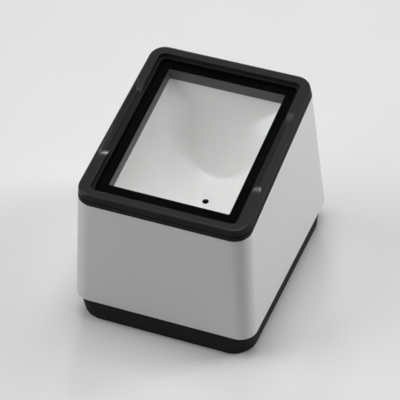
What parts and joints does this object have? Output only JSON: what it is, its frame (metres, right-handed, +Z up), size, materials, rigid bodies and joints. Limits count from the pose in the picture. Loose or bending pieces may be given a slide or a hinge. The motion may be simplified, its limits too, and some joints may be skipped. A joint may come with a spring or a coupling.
{
  "type": "desktop code scanner",
  "caption": "Desktop scanner box with a tilted glass window over a white reflector and camera, a dark scooped rim and a low base with a lead jack; it reads codes shown to its window.",
  "frame": {"origin": "middle of the part's outline, on the surface that its feet stand on", "axes": "+X to the user's right, +Y from the low front of the window to its high back, +Z up"},
  "size_m": [0.086, 0.1104, 0.0905],
  "materials": {
    "silver_plastic": "satin silver-grey lacquer on moulded plastic",
    "charcoal_plastic": "fine-grained charcoal moulding",
    "black_plastic": "satin black moulding",
    "clear_glass": "polished clear pane",
    "black_film": "black film behind the glass",
    "black_foam": "closed-cell foam strip",
    "grey_plastic": "dark grey moulding",
    "white_plastic": "milky white moulding that spreads light",
    "white_board": "white circuit board",
    "light_resin": "clear resin over yellow phosphor",
    "ivory_plastic": "ivory connector moulding",
    "lead_sheath": "red sheath",
    "green_board": "green circuit board",
    "chip_black": "moulded chip package",
    "lens_glass": "coated lens glass",
    "ribbon_film": "flat white ribbon",
    "bare_steel": "zinc-plated steel",
    "bare_aluminium": "plain can",
    "ferrite": "dark sintered block",
    "gold_contact": "gilt spring contact",
    "foot_rubber": "soft grey-black rubber"
  },
  "bodies": {
    "root": {"housing": "silver_plastic", "top_frame": "charcoal_plastic", "window_glass": "clear_glass", "border_film": "black_film", "window_gasket": "black_foam", "window_collar": "grey_plastic", "reflector": "white_plastic", "left_light_board": "white_board", "right_light_board": "white_board", "left_lights": "light_resin", "right_lights": "light_resin", "light_sockets": "ivory_plastic", "left_light_lead": "lead_sheath", "right_light_lead": "lead_sheath", "lead_sockets": "ivory_plastic", "camera_board": "green_board", "image_sensor": "chip_black", "lens_holder": "black_plastic", "lens_barrel": "black_plastic", "front_lens": "lens_glass", "lens_spacer": "black_plastic", "rear_lens": "lens_glass", "camera_socket": "ivory_plastic", "camera_ribbon": "ribbon_film", "ribbon_socket": "ivory_plastic", "main_board": "green_board", "decoder_chip": "chip_black", "memory_chip": "chip_black", "power_chip": "chip_black", "crystal": "bare_steel", "inductor": "ferrite", "capacitors": "bare_aluminium", "buzzer": "black_plastic", "jack_body": "black_plastic", "jack_contacts": "gold_contact", "base": "black_plastic", "rubber_feet": "foot_rubber", "frame_screws": "bare_steel", "reflector_screws": "bare_steel", "light_screws": "bare_steel", "camera_screws": "bare_steel", "board_screws": "bare_steel", "base_screws": "bare_steel"}
  },
  "joints": []
}
